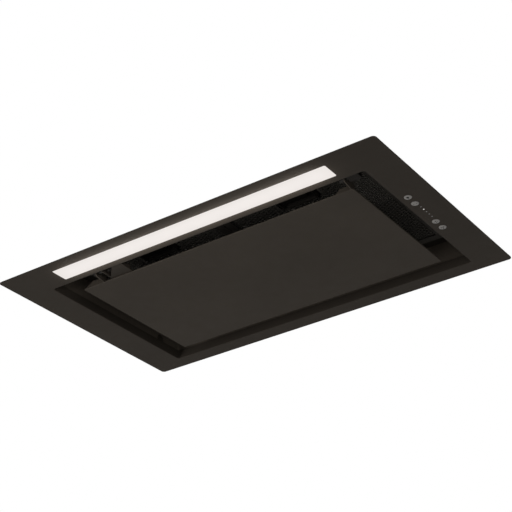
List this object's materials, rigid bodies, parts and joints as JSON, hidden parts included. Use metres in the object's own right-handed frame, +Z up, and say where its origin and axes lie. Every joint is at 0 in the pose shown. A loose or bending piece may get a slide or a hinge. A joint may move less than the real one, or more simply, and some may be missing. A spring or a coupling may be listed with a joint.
{
  "type": "built-in range hood",
  "caption": "Built-in range hood with a hinged perimeter-suction panel, light strip, push buttons, grease filters, blower and duct collar.",
  "frame": {"origin": "centre of the cabinet's cut-out, in the plane where the flange's seal meets the cabinet's underside", "axes": "+Z up into the cabinet, -Y to the front edge with the light strip, +X to the end with the buttons"},
  "size_m": [0.52, 0.32, 0.2959],
  "materials": {
    "black_paint": "fine satin powder coat",
    "foam": "soft closed-cell foam",
    "zinc_sheet": "galvanised sheet",
    "spring_steel": "bright spring steel",
    "screw_zinc": "zinc plated",
    "opal": "opal, lit from behind",
    "white_tray": "white enamel",
    "circuit_green": "solder resist",
    "circuit_white": "white solder resist",
    "led": "phosphor",
    "black_plastic": "fine grain",
    "grey_plastic": "fine grain",
    "switch_black": "moulded",
    "clear_pipe": "clear, polished ends",
    "button_silver": "satin chrome",
    "pin_steel": "ground steel",
    "black_steel": "blackened steel",
    "magnet": "nickel plated",
    "filter_black": "black coated aluminium",
    "mesh_black": "black coated expanded mesh",
    "motor_paint": "grey enamel",
    "rubber": "moulded rubber",
    "capacitor_white": "moulded",
    "blue_plastic": "moulded",
    "terminal_white": "moulded"
  },
  "bodies": {
    "hood": {"face_plate": "black_paint", "flange_seal": "foam", "canopy_shell": "zinc_sheet", "frame_nuts": "screw_zinc", "side_springs": "spring_steel", "recess_walls": "black_paint", "filter_deck": "black_paint", "light_diffuser": "opal", "light_tray": "white_tray", "led_board": "circuit_white", "led_chips": "led", "control_housing": "black_plastic", "control_board": "circuit_green", "switches": "switch_black", "indicator_pipes": "clear_pipe", "left_hinge_lug": "black_paint", "right_hinge_lug": "black_plastic", "release_spring": "black_steel", "magnet_holder_left": "black_plastic", "magnet_holder_right": "black_plastic", "magnet_left": "magnet", "magnet_right": "magnet", "filter_frame_left": "filter_black", "filter_frame_right": "filter_black", "filter_mesh_left": "mesh_black", "filter_mesh_right": "mesh_black", "latch_spring_left": "spring_steel", "latch_spring_right": "spring_steel", "motor_casing": "zinc_sheet", "outlet_plate": "zinc_sheet", "casing_screws": "screw_zinc", "scroll_left": "black_plastic", "scroll_right": "black_plastic", "motor_body": "motor_paint", "motor_bearings": "pin_steel", "motor_bracket": "zinc_sheet", "motor_bushes": "rubber", "capacitor": "capacitor_white", "outlet_collar": "black_plastic", "flap_pin": "pin_steel", "electrics_box": "black_plastic", "electrics_lid": "black_plastic", "main_board": "circuit_green", "light_driver": "blue_plastic", "terminal_block": "terminal_white", "cable_gland": "black_plastic"},
    "panel": {"suction_panel": "black_paint", "panel_pan": "black_paint", "right_hinge_pin": "black_steel"},
    "release_pin": {"release_pin": "black_steel"},
    "light_button": {"light_button": "button_silver"},
    "slower_button": {"slower_button": "button_silver"},
    "faster_button": {"faster_button": "button_silver"},
    "boost_button": {"boost_button": "button_silver"},
    "latch_left": {"filter_latch_left": "black_plastic"},
    "latch_right": {"filter_latch_right": "black_plastic"},
    "rotor": {"impeller": "grey_plastic", "motor_shaft": "pin_steel"},
    "flap_front": {"flap_front": "grey_plastic"},
    "flap_rear": {"flap_rear": "grey_plastic"}
  },
  "joints": [
    {"name": "panel_hinge", "type": "hinge", "parent": "hood", "child": "panel", "pos_m": [0, -0.097, 0.005], "axis": [-1, 0, 0], "range_deg": [0, 90]},
    {"name": "release_pin_slide", "type": "slide", "parent": "hood", "child": "release_pin", "axis": [1, 0, 0], "range_m": [0, 0.006], "stiffness_N_per_m": 120, "springref_m": -0.006, "deforming": ["release_spring"]},
    {"name": "light_button_press", "type": "slide", "parent": "hood", "child": "light_button", "axis": [0, 0, 1], "range_m": [0, 0.0008], "stiffness_N_per_m": 600, "springref_m": -0.0008},
    {"name": "slower_button_press", "type": "slide", "parent": "hood", "child": "slower_button", "axis": [0, 0, 1], "range_m": [0, 0.0008], "stiffness_N_per_m": 600, "springref_m": -0.0008},
    {"name": "faster_button_press", "type": "slide", "parent": "hood", "child": "faster_button", "axis": [0, 0, 1], "range_m": [0, 0.0008], "stiffness_N_per_m": 600, "springref_m": -0.0008},
    {"name": "boost_button_press", "type": "slide", "parent": "hood", "child": "boost_button", "axis": [0, 0, 1], "range_m": [0, 0.0008], "stiffness_N_per_m": 600, "springref_m": -0.0008},
    {"name": "latch_left_slide", "type": "slide", "parent": "hood", "child": "latch_left", "axis": [0, 1, 0], "range_m": [0, 0.0065], "stiffness_N_per_m": 150, "springref_m": -0.007, "deforming": ["latch_spring_left"]},
    {"name": "latch_right_slide", "type": "slide", "parent": "hood", "child": "latch_right", "axis": [0, 1, 0], "range_m": [0, 0.0065], "stiffness_N_per_m": 150, "springref_m": -0.007, "deforming": ["latch_spring_right"]},
    {"name": "flap_front_hinge", "type": "hinge", "parent": "hood", "child": "flap_front", "pos_m": [0, 0.04487, 0.2622], "axis": [-1, 0, 0], "range_deg": [0, 80]},
    {"name": "flap_rear_hinge", "type": "hinge", "parent": "hood", "child": "flap_rear", "pos_m": [0, 0.04487, 0.2622], "axis": [1, 0, 0], "range_deg": [0, 80]},
    {"name": "impeller_spin", "type": "hinge", "parent": "hood", "child": "rotor", "pos_m": [0, -0.025, 0.156], "axis": [1, 0, 0], "continuous": true}
  ]
}
